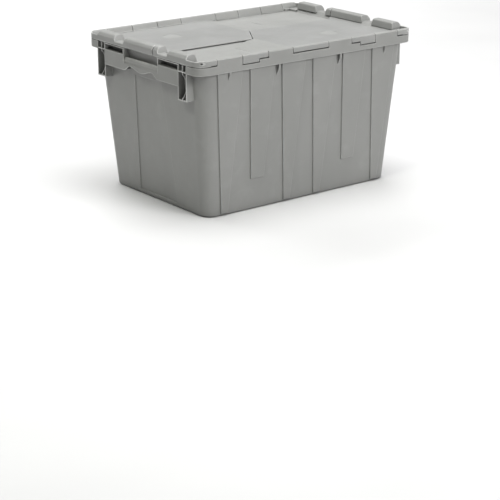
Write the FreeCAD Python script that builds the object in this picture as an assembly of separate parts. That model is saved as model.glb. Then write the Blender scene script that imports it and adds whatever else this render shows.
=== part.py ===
"""Attached lid tote: a tapered tub with two hinged, interlocking lid flaps.

Frame: millimetres, +Z up, origin at the centre of the base's underside.
+X runs along the tub's length; the flaps hinge on the two long (Y) sides.
"""
import math
import os

import FreeCAD
import Part

# Overall sizes
LENGTH = 554.0
WIDTH = 386.0
HEIGHT = 330.0
BAND_RADIUS = 24.0

# Tub wall, which tapers from the base up to the underside of the rim band
BASE_LENGTH = 475.0
BASE_WIDTH = 329.0
BASE_RADIUS = 26.0
TOP_LENGTH = 527.0
TOP_WIDTH = 371.0
TOP_RADIUS = 34.0
WALL = 3.0
BASE_CHAMFER = 3.0
FLOOR_UNDERSIDE = 2.5
FLOOR_TOP = 5.5
FOOT_RING = 16.0

# Rim
BAND_BOTTOM = 294.0
LEDGE = 309.8
RIDGE_TOP = 323.0
BAND_THICK = 2.5
LEDGE_THICK = 2.5

# Hinge: one rod along each long side
AXIS_Z = 318.0
AXIS_Y = 188.5
ROD_RADIUS = 2.0
ROD_HALF_LENGTH = 262.0
LID_BORE_RADIUS = 2.08
BAR_HALF = 4.5
BAR_REACH = 9.6
KNUCKLE_BOTTOM = 311.2
LOBE_BOTTOM = 304.9
POCKET_FLOOR = 303.8
END_GAP = 1.1
CENTRE_KNUCKLE = 45.4
STEP_KNUCKLE_IN = 107.8
STEP_KNUCKLE_LOBE = 130.5
STEP_KNUCKLE_OUT = 170.1
CORNER_KNUCKLE = 232.8

# Wall ribs: (centre x, bottom z, width at the base) on each long side
RIBS = ((39.5, 6.0, 17.0), (118.5, 66.0, 26.0), (197.5, 6.0, 17.0))
RIB_TOP_WIDTH = 62.0
RIB_DEPTH = 3.2
GUSSET_X = (79.0, 200.0)
GUSSET_THICK = 4.4
GUSSET_FOOT = 270.0

# Recessed panel in each end wall
PANEL_TOP_HALF = 42.0
PANEL_BASE_HALF = 66.0
PANEL_DEPTH = 2.0
PANEL_TOP = 256.0
PANEL_FOOT = 10.0

# Carrying handle and posts at each end
POST_OUT = 154.3
POST_IN = 126.0
POST_BOTTOM = 239.4
HANDLE_HALF = 61.0
APRON_BOTTOM = 265.5
FLANGE_TOP = 297.0
SHEET = 2.2
GRIP_TOP = 291.5
GRIP_LEAN = 5.2

# Lid
LID_THICK = 3.0
TONGUE_TOP = 312.0
LOW_TOP = 308.0
PAN_HALF_LENGTH = 249.0
PAN_EDGE_Y = 182.0
SEAM_Y = 34.0
SEAM_DIAGONAL_X = 22.0
END_SEAM_Y = 42.0
SEAM_GAP = 1.2
END_SEAM_GAP = 2.2
LEDGE_OVERLAP = 14.0
RAMP_HIGH_X = -14.0
RAMP_LOW_X = -46.0
END_LIP_TOP = 318.0
BLOCK_ENDS = (60.0, 90.0, 155.0)
BLOCK_SLOPE = 3.5
CORNER_RIM_TOP = 321.5
CORNER_PLATE = (310.4, 312.8)
CORNER_CLEARANCE = 1.0
DISC_AT = (139.0, -85.0)
DISC_RADIUS = 19.0
SCORE_X = (-97.0, -95.8)
SCORE_Y = (-128.0, -72.0)
MARK_DEPTH = 0.6


def vec(x, y, z):
    return FreeCAD.Vector(x, y, z)


def box(x0, x1, y0, y1, z0, z1):
    return Part.makeBox(x1 - x0, y1 - y0, z1 - z0, vec(x0, y0, z0))


def face_of(points):
    return Part.Face(Part.makePolygon(points + points[:1]))


def prism_z(points, z0, z1):
    """Extrude an x, y outline upward."""
    return face_of([vec(x, y, z0) for x, y in points]).extrude(vec(0, 0, z1 - z0))


def prism_x(points, x0, x1):
    """Extrude a y, z outline along X."""
    return face_of([vec(x0, y, z) for y, z in points]).extrude(vec(x1 - x0, 0, 0))


def prism_y(points, y0, y1):
    """Extrude an x, z outline along Y."""
    return face_of([vec(x, y0, z) for x, z in points]).extrude(vec(0, y1 - y0, 0))


def fuse_all(shapes):
    return shapes[0].multiFuse(shapes[1:]).removeSplitter()


def turned(shape):
    """Half a turn about the vertical axis."""
    copy = shape.copy()
    copy.rotate(vec(0, 0, 0), vec(0, 0, 1), 180)
    return copy


def mirrored(shape, normal):
    return shape.mirror(vec(0, 0, 0), normal)


def rounded_rect(half_x, half_y, radius, z):
    """Closed wire of four lines and four arcs."""
    edges = []
    corners = ((1, 1, 0), (-1, 1, 90), (-1, -1, 180), (1, -1, 270))
    previous = None
    first = None
    for sx, sy, start in corners:
        cx = sx * (half_x - radius)
        cy = sy * (half_y - radius)
        points = []
        for turn in (0, 45, 90):
            angle = math.radians(start + turn)
            points.append(vec(cx + radius * math.cos(angle), cy + radius * math.sin(angle), z))
        if previous is not None:
            edges.append(Part.makeLine(previous, points[0]))
        else:
            first = points[0]
        edges.append(Part.Arc(*points).toShape())
        previous = points[2]
    edges.append(Part.makeLine(previous, first))
    return Part.Wire(edges)


def slab(half_x, half_y, radius, z0, z1):
    return Part.Face(rounded_rect(half_x, half_y, radius, z0)).extrude(vec(0, 0, z1 - z0))


def wall_size(z):
    """Half length, half width and corner radius of the tub's outer wall."""
    t = z / BAND_BOTTOM
    return (0.5 * (BASE_LENGTH + (TOP_LENGTH - BASE_LENGTH) * t),
            0.5 * (BASE_WIDTH + (TOP_WIDTH - BASE_WIDTH) * t),
            BASE_RADIUS + (TOP_RADIUS - BASE_RADIUS) * t)


def wall_loft(z0, z1, inset=0.0):
    """Solid between two heights, inside the tub's outer wall by the inset."""
    wires = []
    for z in (z0, z1):
        half_x, half_y, radius = wall_size(z)
        wires.append(rounded_rect(half_x - inset, half_y - inset, radius - inset, z))
    return Part.makeLoft(wires, True, True)


def chamfer_loft():
    """The lowest few millimetres of the tub, which lean inwards."""
    wires = []
    for z, inset in ((0.0, BASE_CHAMFER), (BASE_CHAMFER, 0.0)):
        half_x, half_y, radius = wall_size(z)
        wires.append(rounded_rect(half_x - inset, half_y - inset, radius - inset, z))
    return Part.makeLoft(wires, True, True)


def rib_width(z, base_width):
    return base_width + (RIB_TOP_WIDTH - base_width) * z / BAND_BOTTOM


def rib_loft(centre, base_width, z0, z1, inner, outer, narrower):
    """Tapered rib on the front wall; inner and outer are distances from the wall face."""
    wires = []
    for z in (z0, z1):
        half = rib_width(z, base_width) / 2 - narrower
        face = wall_size(z)[1]
        points = [vec(centre - half, -(face + inner), z), vec(centre + half, -(face + inner), z),
                  vec(centre + half - 0.8, -(face + outer), z), vec(centre - half + 0.8, -(face + outer), z)]
        wires.append(Part.makePolygon(points + points[:1]))
    return Part.makeLoft(wires, True, True)


def panel_loft(z0, z1, inner, outer, narrower):
    """Trapezoid panel on the left end wall, distances measured from the wall face."""
    wires = []
    for z in (z0, z1):
        t = z / BAND_BOTTOM
        half = PANEL_BASE_HALF + (PANEL_TOP_HALF - PANEL_BASE_HALF) * t - narrower
        face = wall_size(z)[0]
        points = [vec(-(face + inner), -half, z), vec(-(face + outer), -half, z),
                  vec(-(face + outer), half, z), vec(-(face + inner), half, z)]
        wires.append(Part.makePolygon(points + points[:1]))
    return Part.makeLoft(wires, True, True)


def rim_knuckle_spans(gap):
    """Stretches of the front side where the tub's rim holds the rod, and the pan level beside them."""
    spans = []
    for low, high in ((CENTRE_KNUCKLE, STEP_KNUCKLE_IN), (STEP_KNUCKLE_OUT, CORNER_KNUCKLE)):
        spans.append((low + gap, high - gap, TONGUE_TOP))
        spans.append((-high + gap, -low - gap, LOW_TOP))
    return spans


def ridge_slope():
    """Top and inner slope of the front ridge, the same on the tub's and the lid's knuckles."""
    return [(-AXIS_Y - BAR_HALF, RIDGE_TOP - 2), (-AXIS_Y - BAR_HALF + 2, RIDGE_TOP),
            (-AXIS_Y + 2.8, RIDGE_TOP), (-AXIS_Y + 4.4, RIDGE_TOP - 1.2), (-AXIS_Y + 7.8, AXIS_Z - 4.4)]


def bar_outline(bottom, pan_top):
    """Section of a rim knuckle, around the rod on the front side; it overhangs the tub's wall."""
    inner = -AXIS_Y + BAR_HALF
    reach = -AXIS_Y + BAR_REACH
    return [(-AXIS_Y - BAR_HALF, bottom)] + ridge_slope() + [
        (reach, pan_top + 0.6), (reach, pan_top - 0.8), (inner, LEDGE - 5), (inner, bottom)]


def rim_band():
    """Outer band, ledge and upper wall as one ring, open underneath."""
    ring = slab(LENGTH / 2, WIDTH / 2, BAND_RADIUS, BAND_BOTTOM, LEDGE)
    channel = slab(LENGTH / 2 - BAND_THICK, WIDTH / 2 - BAND_THICK, BAND_RADIUS - BAND_THICK,
                   BAND_BOTTOM - 1, LEDGE - LEDGE_THICK)
    ring = ring.cut(channel)
    reach = LENGTH / 2 - wall_size(LEDGE)[0]
    for side in (-1, 1):
        x0, x1 = sorted((side * (LENGTH / 2 - reach), side * (LENGTH / 2 + 1)))
        ring = ring.cut(box(x0, x1, -POST_OUT + 1, POST_OUT - 1, BAND_BOTTOM - 1, LEDGE + 1))
    return ring


def rim_knuckles():
    """The tub's own stretches of the front ridge."""
    spans = rim_knuckle_spans(END_GAP)
    return [prism_x(bar_outline(LEDGE - 6, pan_top), x0, x1) for x0, x1, pan_top in spans]


def long_side_details():
    """Ribs, gussets and hinge pockets of the front side; the back gets the same, turned."""
    solids = []
    for centre, bottom, base_width in RIBS:
        for side in (-1, 1):
            solids.append(rib_loft(side * centre, base_width, bottom, LEDGE - 2, -1.0, RIB_DEPTH, 0.0))
    face = wall_size(BAND_BOTTOM)[1]
    for x in GUSSET_X:
        for side in (-1, 1):
            outline = [(-face + 2, GUSSET_FOOT), (-WIDTH / 2 + 1, BAND_BOTTOM - 8),
                       (-WIDTH / 2 + 1, LEDGE - 1), (-face + 2, LEDGE - 1)]
            solids.append(prism_x(outline, side * x - GUSSET_THICK / 2, side * x + GUSSET_THICK / 2))
    outer = -WIDTH / 2
    for side in (-1, 1):
        x0, x1 = sorted((side * (STEP_KNUCKLE_LOBE - END_GAP - 2.4),
                         side * (STEP_KNUCKLE_OUT + END_GAP + 2.4)))
        solids.append(box(x0, x1, outer, -wall_size(LEDGE)[1] + 1, POCKET_FLOOR - 2.4, LEDGE))
    return solids


def long_side_cuts():
    """Grooves behind the ribs and the lobe pockets, on the front side."""
    cuts = []
    for centre, bottom, base_width in RIBS:
        for side in (-1, 1):
            start = max(bottom + 6, 14)
            cuts.append(rib_loft(side * centre, base_width, start, BAND_BOTTOM + 6, -WALL - 1,
                                 RIB_DEPTH - WALL, 3.0))
    for side in (-1, 1):
        x0, x1 = sorted((side * (STEP_KNUCKLE_LOBE - END_GAP), side * (STEP_KNUCKLE_OUT + END_GAP)))
        cuts.append(box(x0, x1, -WIDTH / 2 - 1, -AXIS_Y + 6, POCKET_FLOOR, LEDGE + 1))
    return cuts


def handle_plate():
    """Grip between the aprons of the left end: its top leans in, and its lower edge is waved."""
    x_face = -LENGTH / 2
    outer = [(x_face, 258), (x_face, 277), (x_face + 1.0, 283.5), (x_face + 2.8, 288.2),
             (x_face + GRIP_LEAN, GRIP_TOP)]
    inner = [(x + SHEET, z) for x, z in reversed(outer)]
    plate = prism_y(outer + inner, -HANDLE_HALF, HANDLE_HALF)
    wave = [(-HANDLE_HALF - 1, APRON_BOTTOM - 20), (-HANDLE_HALF - 1, APRON_BOTTOM), (-57, APRON_BOTTOM)]
    steps = 28
    for i in range(steps + 1):
        y = -57 + 114 * i / steps
        wave.append((y, wave_height(y)))
    wave += [(57, APRON_BOTTOM), (HANDLE_HALF + 1, APRON_BOTTOM), (HANDLE_HALF + 1, APRON_BOTTOM - 20)]
    return plate.cut(prism_x(wave, x_face - 5, x_face + 20))


def wave_height(y):
    """Lower edge of the grip: up at the sides, down in the middle."""
    y = abs(y)
    if y > 38.7:
        t = (57 - y) / (57 - 38.7)
        return APRON_BOTTOM + 10.0 * (1 - math.cos(math.pi * t)) / 2
    t = y / 38.7
    return APRON_BOTTOM + 2.5 + 7.5 * (1 - math.cos(math.pi * t)) / 2


def post(inner_x):
    """Channel-shaped post of the left end, on the +Y side, open outwards."""
    x_face = -LENGTH / 2
    solids = [box(x_face, inner_x, POST_OUT - SHEET, POST_OUT, POST_BOTTOM, LEDGE - 1),
              box(x_face, inner_x, POST_IN, POST_IN + SHEET, POST_BOTTOM, LEDGE),
              box(x_face, inner_x, POST_IN, POST_OUT, POST_BOTTOM, POST_BOTTOM + SHEET),
              box(x_face + 5, inner_x, POST_IN, POST_OUT, LEDGE - 2, LEDGE)]
    middle = (POST_IN + POST_OUT) / 2
    outline = [(inner_x, LEDGE - 1), (x_face + 0.6, LEDGE - 1), (x_face + 0.6, POST_BOTTOM + 51.6)]
    for i in range(13):
        t = i / 12
        outline.append((x_face + 0.6 + 10.5 * math.sin(math.pi * t) ** 0.8, POST_BOTTOM + 51.6 - 47 * t))
    outline += [(x_face + 0.6, POST_BOTTOM + 1), (inner_x, POST_BOTTOM + 1)]
    solids.append(prism_y(outline, middle - 1.0, middle + 1.0))
    return solids


def end_details():
    """Posts, flanges, aprons and grip of the left end; the right end gets the same, turned."""
    x_face = -LENGTH / 2
    inner_x = -wall_size(POST_BOTTOM)[0] + 1.5
    half_solids = post(inner_x)
    half_solids.append(box(x_face, inner_x, HANDLE_HALF - SHEET, POST_OUT, FLANGE_TOP - 2, FLANGE_TOP))
    half_solids.append(box(x_face, inner_x, HANDLE_HALF, POST_IN + 1, LEDGE - 2, LEDGE))
    half_solids.append(box(x_face, x_face + SHEET, HANDLE_HALF, POST_IN + 1, APRON_BOTTOM, FLANGE_TOP))
    half_solids.append(box(x_face, inner_x, HANDLE_HALF - SHEET, HANDLE_HALF, APRON_BOTTOM, LEDGE))
    solids = list(half_solids)
    for solid in half_solids:
        solids.append(mirrored(solid, vec(0, 1, 0)))
    solids.append(handle_plate())
    return solids


def build_tub():
    shell = fuse_all([chamfer_loft(), wall_loft(BASE_CHAMFER, LEDGE), rim_band()])
    solids = [shell]
    for detail in long_side_details() + end_details():
        solids.append(detail)
        solids.append(turned(detail))
    tub = fuse_all(solids)
    pad = panel_loft(FLOOR_TOP - 1, PANEL_TOP + WALL, -WALL - PANEL_DEPTH, -WALL + 0.5, -WALL)
    cuts = [wall_loft(FLOOR_TOP, LEDGE + 20, WALL).cut([pad, turned(pad)])]
    half_x, half_y, radius = wall_size(0)
    cuts.append(slab(half_x - FOOT_RING, half_y - FOOT_RING, radius - 10, -1, FLOOR_UNDERSIDE))
    cuts.append(panel_loft(PANEL_FOOT, PANEL_TOP, -PANEL_DEPTH, 4.0, 0.0))
    cuts.append(turned(cuts[-1]))
    for cut in long_side_cuts():
        cuts.append(cut)
        cuts.append(turned(cut))
    solids = [tub.cut(cuts)]
    for knuckle in rim_knuckles():
        solids.append(knuckle)
        solids.append(turned(knuckle))
    bore = rod_shape(ROD_RADIUS, ROD_HALF_LENGTH)
    return fuse_all(solids).cut([bore, turned(bore)])


def rod_shape(radius, half_length):
    """Cylinder on the front hinge axis."""
    return Part.makeCylinder(radius, 2 * half_length, vec(-half_length, -AXIS_Y, AXIS_Z), vec(1, 0, 0))


def knuckle_outline(bottom, pan_top):
    """Section of a lid knuckle: it wraps the rod and comes down to the pan."""
    outer = -AXIS_Y - BAR_HALF
    return [(outer, bottom + 1.6)] + ridge_slope() + [
        (-AXIS_Y + BAR_REACH, pan_top), (-AXIS_Y + 13, pan_top),
        (-AXIS_Y + 13, pan_top - LID_THICK), (-AXIS_Y + 6.6, pan_top - LID_THICK),
        (-AXIS_Y + 5.4, KNUCKLE_BOTTOM), (outer + 3.5, KNUCKLE_BOTTOM), (outer + 3.5, bottom),
        (outer + 1.6, bottom)]


def knuckles():
    """Lid knuckles of the front flap: centre, stepped and corner ones."""
    wires = []
    for x, pan_top in ((-CENTRE_KNUCKLE, LOW_TOP), (RAMP_HIGH_X, TONGUE_TOP)):
        points = [vec(x, y, z) for y, z in knuckle_outline(KNUCKLE_BOTTOM, pan_top)]
        wires.append(Part.makePolygon(points + points[:1]))
    solids = [Part.makeLoft(wires, True, True),
              prism_x(knuckle_outline(KNUCKLE_BOTTOM, TONGUE_TOP), RAMP_HIGH_X, CENTRE_KNUCKLE)]
    for side, pan_top in ((-1, LOW_TOP), (1, TONGUE_TOP)):
        for bottom, low, high in ((KNUCKLE_BOTTOM, STEP_KNUCKLE_IN, STEP_KNUCKLE_LOBE),
                                  (LOBE_BOTTOM, STEP_KNUCKLE_LOBE, STEP_KNUCKLE_OUT),
                                  (KNUCKLE_BOTTOM, CORNER_KNUCKLE, PAN_HALF_LENGTH + 1)):
            x0, x1 = sorted((side * low, side * high))
            solids.append(prism_x(knuckle_outline(bottom, pan_top), x0, x1))
    return solids


def pan():
    """Tongue panel, low panel with its hidden ledge, and the ramp between them."""
    gap = SEAM_GAP / 2
    edge = -PAN_EDGE_Y
    tongue = [(RAMP_HIGH_X, edge), (PAN_HALF_LENGTH, edge), (PAN_HALF_LENGTH, SEAM_Y - gap),
              (SEAM_DIAGONAL_X + gap, SEAM_Y - gap), (-SEAM_DIAGONAL_X + gap, -SEAM_Y - gap),
              (RAMP_HIGH_X, -SEAM_Y - gap)]
    low = [(-PAN_HALF_LENGTH, edge), (RAMP_LOW_X, edge), (RAMP_LOW_X, -SEAM_Y + LEDGE_OVERLAP),
           (-PAN_HALF_LENGTH, -SEAM_Y + LEDGE_OVERLAP)]
    ramp = [(RAMP_LOW_X, LOW_TOP), (RAMP_HIGH_X, TONGUE_TOP), (RAMP_HIGH_X, TONGUE_TOP - LID_THICK),
            (RAMP_LOW_X, LOW_TOP - LID_THICK)]
    return [prism_z(tongue, TONGUE_TOP - LID_THICK, TONGUE_TOP),
            prism_z(low, LOW_TOP - LID_THICK, LOW_TOP),
            prism_y(ramp, edge, -SEAM_Y - gap)]


def lip_outline(pan_top):
    """Section of the low end lip of the right end, open underneath."""
    x_face = LENGTH / 2
    inner = PAN_HALF_LENGTH
    return [(x_face, KNUCKLE_BOTTOM), (x_face, END_LIP_TOP - 1.5), (x_face - 1.5, END_LIP_TOP),
            (inner + 9, END_LIP_TOP), (inner, pan_top), (inner - 3, pan_top),
            (inner - 3, pan_top - LID_THICK), (inner + 1.6, pan_top - LID_THICK),
            (inner + 10, END_LIP_TOP - 2.5),
            (x_face - 2.5, END_LIP_TOP - 2.5), (x_face - 2.5, KNUCKLE_BOTTOM)]


def block_outline(inset):
    """Section of a raised block of the right end; the inset gives its hollow."""
    x_face = LENGTH / 2 - inset
    top = HEIGHT - inset
    return [(x_face, END_LIP_TOP - 3), (x_face, top - 7.5), (x_face - 4.5, top - 1.4), (x_face - 8, top),
            (255.8 + inset, top), (253.4 + inset, top - 2.2), (251.2 + inset, END_LIP_TOP - 3)]


def block(y0, y1, slope0, slope1):
    """Raised block; a slope sets how far an end leans in over the block's height."""
    low = END_LIP_TOP - 4
    ends = [(y0, low), (y0, END_LIP_TOP), (y0 + slope0, HEIGHT + 1),
            (y1 - slope1, HEIGHT + 1), (y1, END_LIP_TOP), (y1, low)]
    solid = prism_y(block_outline(0.0), y0, y1).common(prism_x(ends, 240, LENGTH / 2 + 1))
    hollow = prism_y(block_outline(2.4), y0 + slope0 + 2.4, y1 - slope1 - 2.4)
    return solid, hollow


def end_strip(side, y_end, pan_top):
    """Lip and raised blocks of one end, from the corner to the seam."""
    lip = prism_y(lip_outline(pan_top), -BLOCK_ENDS[2], y_end)
    solids = [lip]
    hollows = []
    spans = [(-BLOCK_ENDS[2], -BLOCK_ENDS[1], BLOCK_SLOPE, BLOCK_SLOPE),
             (-BLOCK_ENDS[0], y_end, BLOCK_SLOPE, 0.0)]
    for y0, y1, slope0, slope1 in spans:
        solid, hollow = block(y0, y1, slope0, slope1)
        solids.append(solid)
        hollows.append(hollow)
    strip = fuse_all(solids).cut(hollows)
    if side < 0:
        strip = mirrored(strip, vec(1, 0, 0))
    return strip


def corner_piece(side):
    """Corner of the front flap: rim wall on the band's outline, low plate, end of the ridge."""
    inside = PAN_HALF_LENGTH - 2
    outline = slab(LENGTH / 2, WIDTH / 2, BAND_RADIUS, KNUCKLE_BOTTOM - 0.4, RIDGE_TOP)
    section = [(-AXIS_Y - BAR_HALF, KNUCKLE_BOTTOM + 1.6)] + ridge_slope() + [(-AXIS_Y + 7.8, KNUCKLE_BOTTOM)]
    bar = prism_x(section, inside, LENGTH / 2 + 1)
    rim = slab(LENGTH / 2, WIDTH / 2, BAND_RADIUS, KNUCKLE_BOTTOM, CORNER_RIM_TOP)
    rim = rim.cut(slab(LENGTH / 2 - 2.3, WIDTH / 2 - 2.3, BAND_RADIUS - 2.3, 306, 326))
    rim = rim.common(box(inside, LENGTH / 2 + 1, -WIDTH / 2 - 1, -BLOCK_ENDS[2] + 1, 306, 326))
    plate = box(inside, LENGTH / 2, -AXIS_Y, -BLOCK_ENDS[2] + 1, CORNER_PLATE[0], CORNER_PLATE[1])
    shelf = box(inside - 12, inside + 1, -AXIS_Y + 2, -AXIS_Y + 14, CORNER_PLATE[0], CORNER_PLATE[1])
    web = box(inside, inside + 2.2, -PAN_EDGE_Y, -BLOCK_ENDS[2] + 1, LOW_TOP - LID_THICK, CORNER_PLATE[1])
    hang = box(inside - 12, inside + 1, -AXIS_Y + 12, -AXIS_Y + 14, LOW_TOP - LID_THICK, CORNER_PLATE[1])
    piece = fuse_all([bar.common(outline), plate.common(outline), shelf, rim, web, hang])
    swing_room = [(-WIDTH / 2 - 1, LEDGE + 0.2), (-WIDTH / 2 - 1, LEDGE + 2.2),
                  (-WIDTH / 2 + 2.2, LEDGE + 0.2)]
    piece = piece.cut(prism_x(swing_room, inside - 1, LENGTH / 2 + 1))
    if side < 0:
        piece = mirrored(piece, vec(1, 0, 0))
    return piece


def corner_relief():
    """What the flap leaves free for the tub's rounded inner corners, below the corner plates."""
    low = box(-LENGTH / 2, LENGTH / 2, -WIDTH / 2, -140, LEDGE - 14, CORNER_PLATE[0] - 0.2)
    low = low.cut(box(-225, 225, -WIDTH / 2 - 1, -139, LEDGE - 15, LEDGE + 2))
    return low.cut(wall_loft(BASE_CHAMFER, LEDGE + 20, WALL + CORNER_CLEARANCE))


def underside_ribs():
    """Stiffening ribs under the front flap's panels."""
    solids = []
    for x in (-200, -150, -100):
        solids.append(box(x - 0.9, x + 0.9, -172, -48, LOW_TOP - LID_THICK - 6, LOW_TOP - 1))
    for x in (50, 100, 150, 200):
        solids.append(box(x - 0.9, x + 0.9, -172, 16, TONGUE_TOP - LID_THICK - 7, TONGUE_TOP - 1))
    solids.append(box(-230, -60, -112, -110.2, LOW_TOP - LID_THICK - 6, LOW_TOP - 1))
    solids.append(box(10, 230, -112, -110.2, TONGUE_TOP - LID_THICK - 7, TONGUE_TOP - 1))
    solids.append(box(10, 230, -40, -38.2, TONGUE_TOP - LID_THICK - 7, TONGUE_TOP - 1))
    return solids


def build_flap():
    """Front flap; the back flap is the same moulding, turned."""
    gap = END_SEAM_GAP / 2
    solids = knuckles() + pan() + underside_ribs()
    solids.append(end_strip(-1, -END_SEAM_Y - gap, LOW_TOP))
    solids.append(end_strip(1, END_SEAM_Y - gap, TONGUE_TOP))
    for side in (-1, 1):
        solids.append(corner_piece(side))
    flap = fuse_all(solids)
    bore = rod_shape(LID_BORE_RADIUS, LENGTH / 2 + 5)
    disc = Part.makeCylinder(DISC_RADIUS, 2.0, vec(*DISC_AT, TONGUE_TOP - MARK_DEPTH))
    score = box(*SCORE_X, *SCORE_Y, LOW_TOP - MARK_DEPTH, LOW_TOP + 1)
    cuts = [bore, disc, score, corner_relief()]
    for x0, x1, pan_top in rim_knuckle_spans(0.0):
        cuts.append(box(x0, x1, -AXIS_Y, -AXIS_Y + BAR_REACH + 1, pan_top - 12, pan_top + 2))
    return flap.cut(cuts)


def main():
    os.makedirs("parts", exist_ok=True)
    flap = build_flap()
    rod = rod_shape(ROD_RADIUS, ROD_HALF_LENGTH)
    parts = {
        "tub": build_tub(),
        "lid_flap_front": flap,
        "lid_flap_back": turned(flap),
        "hinge_rod_front": rod,
        "hinge_rod_back": turned(rod),
    }
    for name, shape in parts.items():
        solids = shape.Solids
        print(name, "solids", len(solids), "valid", shape.isValid(), "cm3", round(shape.Volume / 1000, 1))
        if len(solids) == 1:
            shape = solids[0]
        shape.exportStep("parts/" + name + ".step")


main()
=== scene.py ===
import math

import bmesh
import bpy
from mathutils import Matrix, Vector


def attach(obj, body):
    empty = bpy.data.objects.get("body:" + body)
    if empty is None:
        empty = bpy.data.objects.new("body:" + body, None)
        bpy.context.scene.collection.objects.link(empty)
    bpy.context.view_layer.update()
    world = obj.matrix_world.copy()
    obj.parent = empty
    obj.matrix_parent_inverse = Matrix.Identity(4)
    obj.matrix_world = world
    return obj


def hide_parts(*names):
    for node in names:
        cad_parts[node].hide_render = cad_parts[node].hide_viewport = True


# Metres, in the frame's own axes: X along the tote, Y across it, Z up.

# Edge rounding of the moulded pieces
SHARP_ANGLE = math.radians(13)
TUB_ROUND = 0.0009
LID_ROUND = 0.0018
ROD_ROUND = 0.0004
LEAST_ROUND = 0.00012
ROOM_SHARE = 0.42
FOLD_AREA = 1.0e-6
FOLD_PASSES = 5
BOX_SLACK = 5e-5
HINGE_Y = 0.1885
HINGE_Z = 0.318
BORE_REACH = 0.0035

# Gate discs in the lid
GATE_AT = (0.139, -0.085)
GATE_RADIUS = 0.019
DISC_BLUR = 0.0015

# Height of the lid's raised panels, and where along X the carrying ends begin, whose edges get the most
# painted highlight and wear
PANEL_LEVEL = 0.312
HANDLED_FROM = 0.258
HANDLED_TO = 0.268

# Reach of the masks that find thin edges, for painted highlight and wear, and creases, for painted shade
EDGE_REACH = 0.0022
PAINTED_SHADE_REACH = 0.030

FLOOR_HALF = 6.0

# Camera in the tote's frame
CAMERA_AT = (-1.99872, -2.54665, 0.95834)
CAMERA_YAW = math.radians(51.91)
CAMERA_DOWN = math.radians(19.03)
CAMERA_LENS = 114.15
SENSOR = 36.0


def empty_tree(material):
    material.use_nodes = True
    tree = material.node_tree
    tree.nodes.clear()
    return tree


class Shader:
    """Short calls for building one material's node tree."""

    def __init__(self, name):
        self.material = bpy.data.materials.new(name)
        self.tree = empty_tree(self.material)
        self.out = self.tree.nodes.new("ShaderNodeOutputMaterial")
        self.bsdf = self.tree.nodes.new("ShaderNodeBsdfPrincipled")
        self.link(self.bsdf.outputs[0], self.out.inputs[0])

    def link(self, a, b):
        self.tree.links.new(a, b)

    def node(self, kind, **settings):
        made = self.tree.nodes.new(kind)
        for key, value in settings.items():
            setattr(made, key, value)
        return made

    def position(self, scale=(1, 1, 1), turn=(0, 0, 0)):
        coords = self.node("ShaderNodeTexCoord")
        mapping = self.node("ShaderNodeMapping")
        mapping.inputs["Scale"].default_value = scale
        mapping.inputs["Rotation"].default_value = turn
        self.link(coords.outputs["Object"], mapping.inputs["Vector"])
        return mapping.outputs[0]

    def noise(self, vector, scale, detail=3.0, rough=0.5, distortion=0.0):
        made = self.node("ShaderNodeTexNoise")
        made.inputs["Scale"].default_value = scale
        made.inputs["Detail"].default_value = detail
        made.inputs["Roughness"].default_value = rough
        made.inputs["Distortion"].default_value = distortion
        self.link(vector, made.inputs["Vector"])
        return made.outputs["Fac"]

    def remap(self, value, low, high, to_low=0.0, to_high=1.0):
        made = self.node("ShaderNodeMapRange")
        made.inputs["From Min"].default_value = low
        made.inputs["From Max"].default_value = high
        made.inputs["To Min"].default_value = to_low
        made.inputs["To Max"].default_value = to_high
        self.link(value, made.inputs["Value"])
        return made.outputs["Result"]

    def math(self, operation, a, b):
        made = self.node("ShaderNodeMath", operation=operation)
        for socket, value in zip(made.inputs, (a, b)):
            if isinstance(value, (int, float)):
                socket.default_value = value
            else:
                self.link(value, socket)
        return made.outputs[0]

    def mix(self, factor, a, b, blend="MIX"):
        made = self.node("ShaderNodeMix", data_type="RGBA", blend_type=blend)
        if isinstance(factor, (int, float)):
            made.inputs["Factor"].default_value = factor
        else:
            self.link(factor, made.inputs["Factor"])
        for name, value in (("A", a), ("B", b)):
            socket = [s for s in made.inputs if s.name == name and s.type == "RGBA"][0]
            if isinstance(value, tuple):
                socket.default_value = (*value, 1.0)
            else:
                self.link(value, socket)
        return [s for s in made.outputs if s.type == "RGBA"][0]

    def axis(self, name):
        split = self.node("ShaderNodeSeparateXYZ")
        self.link(self.position(), split.inputs[0])
        return split.outputs[name]

    def disc(self, centre, radius):
        """1 inside an upright cylinder, 0 outside it."""
        measure = self.node("ShaderNodeVectorMath", operation="DISTANCE")
        self.link(self.position((1, 1, 0)), measure.inputs[0])
        measure.inputs[1].default_value = (*centre, 0)
        return self.remap(measure.outputs["Value"], radius, radius - DISC_BLUR)

    def edge_mask(self, reach):
        """Near 1 on outer edges and thin fins, 0 on open faces: how soon inward rays leave the piece."""
        depth = self.node("ShaderNodeAmbientOcclusion", samples=8, inside=True, only_local=True)
        depth.inputs["Distance"].default_value = reach
        return self.remap(depth.outputs["AO"], 0.92, 0.58)

    def bump(self, height, strength, distance, below=None):
        made = self.node("ShaderNodeBump")
        made.inputs["Strength"].default_value = strength
        made.inputs["Distance"].default_value = distance
        self.link(height, made.inputs["Height"])
        if below is not None:
            self.link(below, made.inputs["Normal"])
        return made.outputs[0]


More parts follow.
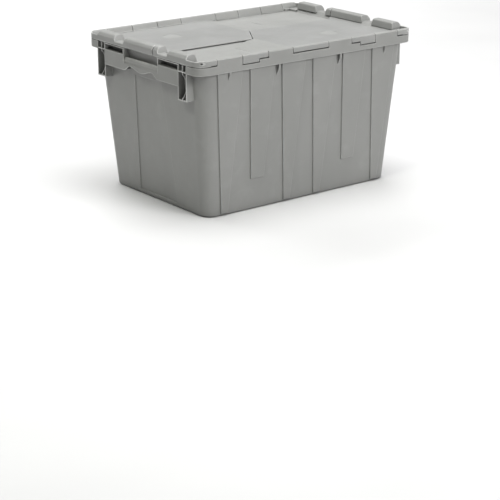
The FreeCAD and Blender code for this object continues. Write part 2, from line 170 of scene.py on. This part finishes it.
def moulded_plastic(name, base, deeper, paler, roughness, markings=None):
    """Moulded plastic: faint flow mottling, a fine satin grain, scuffs and light scratches, edges
    painted pale as part wear and part painted highlight, and painted shade in creases.
    """
    s = Shader(name)
    flow = s.noise(s.position((1, 1, 0.45)), 9.0, 4.0, 0.55, 0.6)
    cloud = s.noise(s.position(), 26.0, 3.0, 0.5)
    grain = s.noise(s.position(), 900.0, 2.0, 0.5)
    speck = s.noise(s.position(), 2400.0, 1.0, 0.5)
    colour = s.mix(s.remap(flow, 0.36, 0.64), deeper, base)
    colour = s.mix(s.remap(cloud, 0.55, 0.78, 0.0, 0.25), colour, paler)
    if markings:
        colour = markings(s, colour)

    # Scratches: two directions of stretched noise, kept to sparse patches
    along = s.noise(s.position((3.0, 160.0, 60.0), (0.35, 0.2, 0.5)), 6.0, 2.0, 0.5)
    across = s.noise(s.position((150.0, 4.0, 50.0), (-0.3, 0.25, -0.4)), 6.0, 2.0, 0.5)
    patch = s.remap(s.noise(s.position(), 14.0, 2.0), 0.52, 0.70)
    lines = s.math("ADD", s.remap(along, 0.67, 0.74), s.remap(across, 0.68, 0.75))
    scuff = s.math("MULTIPLY", s.math("MINIMUM", lines, 1.0), patch)
    colour = s.mix(s.math("MULTIPLY", scuff, 0.30), colour, paler)

    # Edges are painted paler, partly handling wear and partly painted highlight, most of all at the two
    # carrying ends, and creases and recesses get painted shade
    # Painted highlight: thin edges and fins are painted paler, partly handling wear and partly the light
    # they catch, most at the carrying ends
    from_middle = s.math("ABSOLUTE", s.axis("X"), 0.0)
    pale_at_ends = s.remap(from_middle, HANDLED_FROM, HANDLED_TO, 0.35, 0.95)
    wear_and_highlight = s.math("MULTIPLY", s.edge_mask(EDGE_REACH), s.remap(cloud, 0.36, 0.60, 0.5, 1.0))
    colour = s.mix(s.math("MULTIPLY", wear_and_highlight, pale_at_ends), colour, tuple(1.6 * c for c in paler))
    # Painted shade: an ambient-occlusion mask darkens creases, recesses, windows, channels and the line
    # under the band
    shade_ao = s.node("ShaderNodeAmbientOcclusion", samples=6)
    shade_ao.inputs["Distance"].default_value = PAINTED_SHADE_REACH
    painted_shade = s.remap(shade_ao.outputs["AO"], 0.72, 0.12, 0.0, 0.8)
    colour = s.mix(painted_shade, colour, tuple(0.3 * c for c in deeper))
    s.link(colour, s.bsdf.inputs["Base Color"])

    rough = s.remap(cloud, 0.3, 0.7, roughness - 0.05, roughness + 0.06)
    rough = s.math("ADD", rough, s.math("MULTIPLY", scuff, 0.10))
    s.link(rough, s.bsdf.inputs["Roughness"])
    s.bsdf.inputs["IOR"].default_value = 1.5
    s.bsdf.inputs["Specular IOR Level"].default_value = 0.42
    wave = s.bump(flow, 0.25, 0.0012)
    fine = s.bump(grain, 0.18, 0.00012, wave)
    fine = s.bump(speck, 0.10, 0.00005, fine)
    s.link(s.bump(scuff, 0.15, 0.00008, fine), s.bsdf.inputs["Normal"])
    return s.material


def lid_panels(s, colour):
    """The lid's own markings: slightly darker raised panels, and two pale gate discs."""
    height = s.axis("Z")
    above = s.remap(height, PANEL_LEVEL - 0.0007, PANEL_LEVEL - 0.0003)
    below = s.remap(height, PANEL_LEVEL + 0.0006, PANEL_LEVEL + 0.0002)
    raised = s.math("MULTIPLY", above, below)
    colour = s.mix(raised, colour, s.mix(1.0, colour, (0.93, 0.93, 0.94), "MULTIPLY"))
    opposite = (-GATE_AT[0], -GATE_AT[1])
    discs = s.math("MAXIMUM", s.disc(GATE_AT, GATE_RADIUS), s.disc(opposite, GATE_RADIUS))
    return s.mix(discs, colour, s.mix(1.0, colour, (1.09, 1.09, 1.09), "MULTIPLY"))


def drawn_steel(name):
    """Drawn steel rod: lengthwise draw lines and dull patches."""
    s = Shader(name)
    lines = s.noise(s.position((2.0, 700.0, 700.0)), 3.0, 3.0, 0.6)
    dull = s.noise(s.position(), 60.0, 3.0, 0.55)
    colour = s.mix(s.remap(dull, 0.4, 0.65), (0.50, 0.50, 0.51), (0.34, 0.33, 0.32))
    colour = s.mix(s.remap(lines, 0.35, 0.7, 0.0, 0.4), colour, (0.62, 0.62, 0.64))
    s.link(colour, s.bsdf.inputs["Base Color"])
    s.bsdf.inputs["Metallic"].default_value = 1.0
    s.link(s.remap(dull, 0.3, 0.7, 0.28, 0.5), s.bsdf.inputs["Roughness"])
    s.link(s.bump(lines, 0.25, 0.00008), s.bsdf.inputs["Normal"])
    return s.material


def studio_floor(name):
    """Pale matt paint, very slightly uneven."""
    s = Shader(name)
    tone = s.noise(s.position(), 3.0, 2.0)
    paint = s.mix(s.remap(tone, 0.3, 0.7), (0.58, 0.58, 0.58), (0.60, 0.60, 0.60))
    s.link(paint, s.bsdf.inputs["Base Color"])
    s.bsdf.inputs["Roughness"].default_value = 0.85
    return s.material


def along_room(edge, vert):
    """How far the edge may be rounded before it uses up the shorter edges that meet it at one end."""
    direction = (edge.other_vert(vert).co - vert.co).normalized()
    room = 1.0
    for other in vert.link_edges:
        span = other.other_vert(vert).co - vert.co
        if other is edge or span.length < 1e-7:
            continue
        cosine = direction.dot(span.normalized())
        if cosine > -0.8:
            room = min(room, ROOM_SHARE * span.length * math.sqrt(max(0.0, 1.0 - cosine * cosine)))
    return room


def distance_to(point, start, end):
    span = end - start
    if span.length_squared < 1e-14:
        return (point - start).length
    t = max(0.0, min(1.0, (point - start).dot(span) / span.length_squared))
    return (point - start - span * t).length


def across_room(edge):
    """How far the edge may be rounded before it meets the far side of either of its faces."""
    start, end = edge.verts[0].co, edge.verts[1].co
    room = 1.0
    for face in edge.link_faces:
        for other in face.edges:
            if other is edge or set(other.verts) & set(edge.verts):
                continue
            a, b = other.verts[0].co, other.verts[1].co
            near = [distance_to(p, a, b) for p in (start, start.lerp(end, 0.5), end)]
            near += [distance_to(p, start, end) for p in (a, b)]
            room = min(room, ROOM_SHARE * min(near))
    return room


def on_rod(edge):
    """True for the rim of a rod's bore, which stays crisp."""
    return all(math.hypot(abs(v.co.y) - HINGE_Y, v.co.z - HINGE_Z) < BORE_REACH for v in edge.verts)


def troubled_spots(piece):
    """Places where rounding has folded a face over or pushed a corner out of the piece's own box."""
    box_low = Vector(map(min, zip(*[v.co for v in piece.data.vertices])))
    box_high = Vector(map(max, zip(*[v.co for v in piece.data.vertices])))
    shown = piece.evaluated_get(bpy.context.evaluated_depsgraph_get())
    mesh = shown.to_mesh()
    mesh.calc_loop_triangles()
    spots = []
    for triangle in mesh.loop_triangles:
        a, b, c = [mesh.vertices[i].co.copy() for i in triangle.vertices]
        normal = (b - a).cross(c - a)
        face_normal = mesh.polygons[triangle.polygon_index].normal
        if normal.length > 2 * FOLD_AREA and normal.normalized().dot(face_normal) < 0.5:
            spots += [a, b, c]
    for vertex in mesh.vertices:
        past = [max(box_low[i] - vertex.co[i], vertex.co[i] - box_high[i]) for i in range(3)]
        if max(past) > BOX_SLACK:
            spots.append(vertex.co.copy())
    shown.to_mesh_clear()
    return spots


def keep_crisp(mesh, spots, reach):
    """Stops the rounding of every edge that passes close to one of the spots."""
    weights = mesh.attributes["bevel_weight_edge"].data
    for edge in mesh.edges:
        if weights[edge.index].value > 0.0:
            a, b = [mesh.vertices[i].co for i in edge.vertices]
            if any(distance_to(spot, a, b) < reach for spot in spots):
                weights[edge.index].value = 0.0
                edge.use_edge_sharp = True
    mesh.update()


def moulded_piece(node, body, round_by, material):
    """Stands in for a CAD node: the same shape with its moulded radii and its finish."""
    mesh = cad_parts[node].data.copy()
    mesh.name = node + "_moulded"
    mesh.materials.clear()
    mesh.materials.append(material)
    bm = bmesh.new()
    bm.from_mesh(mesh)
    bmesh.ops.remove_doubles(bm, verts=bm.verts, dist=3e-5)
    bmesh.ops.dissolve_degenerate(bm, dist=2e-5, edges=bm.edges)
    bmesh.ops.dissolve_limit(bm, angle_limit=math.radians(0.6), verts=bm.verts, edges=bm.edges)
    bm.normal_update()
    weight = bm.edges.layers.float.new("bevel_weight_edge")
    for edge in bm.edges:
        if not edge.is_manifold or edge.calc_face_angle(0.0) < SHARP_ANGLE:
            continue
        room = min(along_room(edge, edge.verts[0]), along_room(edge, edge.verts[1]), across_room(edge))
        if room > LEAST_ROUND and not on_rod(edge):
            edge[weight] = min(1.0, room / round_by)
        else:
            edge.smooth = False
    for face in bm.faces:
        face.smooth = True
        face.material_index = 0
    bm.to_mesh(mesh)
    bm.free()

    piece = bpy.data.objects.new(node + "_moulded", mesh)
    bpy.context.scene.collection.objects.link(piece)
    bevel = piece.modifiers.new("rounding", "BEVEL")
    bevel.width = round_by
    bevel.segments = 3
    bevel.limit_method = "WEIGHT"
    bevel.offset_type = "OFFSET"
    bevel.use_clamp_overlap = False
    for _ in range(FOLD_PASSES):
        spots = troubled_spots(piece)
        if not spots:
            break
        keep_crisp(mesh, spots, 1.5 * round_by)
    normals = piece.modifiers.new("normals", "WEIGHTED_NORMAL")
    normals.weight = 50
    normals.keep_sharp = True
    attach(piece, body)
    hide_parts(node)
    return piece


def area_light(name, at, to, size, power, colour=(1, 1, 1)):
    data = bpy.data.lights.new(name, "AREA")
    data.shape = "RECTANGLE"
    data.size, data.size_y = size
    data.energy = power
    data.color = colour
    light = bpy.data.objects.new(name, data)
    bpy.context.scene.collection.objects.link(light)
    light.location = at
    light.rotation_euler = (Vector(to) - Vector(at)).to_track_quat("-Z", "Y").to_euler()
    return light


def add_camera():
    data = bpy.data.cameras.new("photo_view")
    data.sensor_width = SENSOR
    data.lens = CAMERA_LENS
    data.clip_end = 100
    camera = bpy.data.objects.new("photo_view", data)
    bpy.context.scene.collection.objects.link(camera)
    forward = Vector((math.cos(CAMERA_DOWN) * math.cos(CAMERA_YAW),
                      math.cos(CAMERA_DOWN) * math.sin(CAMERA_YAW), -math.sin(CAMERA_DOWN)))
    camera.location = CAMERA_AT
    camera.rotation_mode = "QUATERNION"
    camera.rotation_quaternion = forward.to_track_quat("-Z", "Y")
    bpy.context.scene.camera = camera


def add_floor():
    bm = bmesh.new()
    bmesh.ops.create_grid(bm, x_segments=24, y_segments=24, size=FLOOR_HALF)
    mesh = bpy.data.meshes.new("floor")
    bm.to_mesh(mesh)
    bm.free()
    mesh.materials.append(studio_floor("floor_paint"))
    floor = bpy.data.objects.new("floor", mesh)
    bpy.context.scene.collection.objects.link(floor)


def add_lights():
    world = bpy.data.worlds.new("studio")
    bpy.context.scene.world = world
    world.use_nodes = True
    background = world.node_tree.nodes["Background"]
    background.inputs["Color"].default_value = (1.0, 1.0, 1.0, 1.0)
    background.inputs["Strength"].default_value = 0.08
    area_light("overhead", (0.1, -0.2, 2.3), (0, 0, 0.25), (1.6, 1.6), 55)
    area_light("front", (0.6, -2.7, 1.8), (0, 0, 0.15), (1.3, 1.1), 62)
    area_light("end", (-1.8, -0.6, 2.3), (0, 0, 0.2), (0.6, 0.6), 22, (0.98, 1.0, 0.92))
    backdrop = area_light("backdrop", (1.6, 4.6, 3.0), (1.6, 4.2, 0), (7.0, 4.0), 560)
    backdrop.visible_glossy = False
    bpy.context.scene.view_settings.view_transform = "Standard"


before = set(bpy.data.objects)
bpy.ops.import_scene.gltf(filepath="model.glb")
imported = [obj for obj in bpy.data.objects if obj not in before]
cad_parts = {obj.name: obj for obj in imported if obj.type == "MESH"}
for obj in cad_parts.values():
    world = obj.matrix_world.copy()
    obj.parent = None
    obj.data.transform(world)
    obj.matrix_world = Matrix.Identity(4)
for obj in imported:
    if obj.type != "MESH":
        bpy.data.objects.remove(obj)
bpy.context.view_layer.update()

tub_plastic = moulded_plastic("tub_plastic", (0.256, 0.257, 0.248), (0.238, 0.240, 0.231),
                              (0.345, 0.346, 0.340), 0.46)
lid_plastic = moulded_plastic("lid_plastic", (0.271, 0.272, 0.265), (0.253, 0.255, 0.247),
                              (0.37, 0.371, 0.365), 0.36, lid_panels)
rod_steel = drawn_steel("rod_steel")

moulded_piece("tub", "tub", TUB_ROUND, tub_plastic)
moulded_piece("lid_flap_front", "flap_front", LID_ROUND, lid_plastic)
moulded_piece("lid_flap_back", "flap_back", LID_ROUND, lid_plastic)
for rod in ("hinge_rod_front", "hinge_rod_back"):
    moulded_piece(rod, "tub", ROD_ROUND, rod_steel)

add_camera()
add_floor()
add_lights()
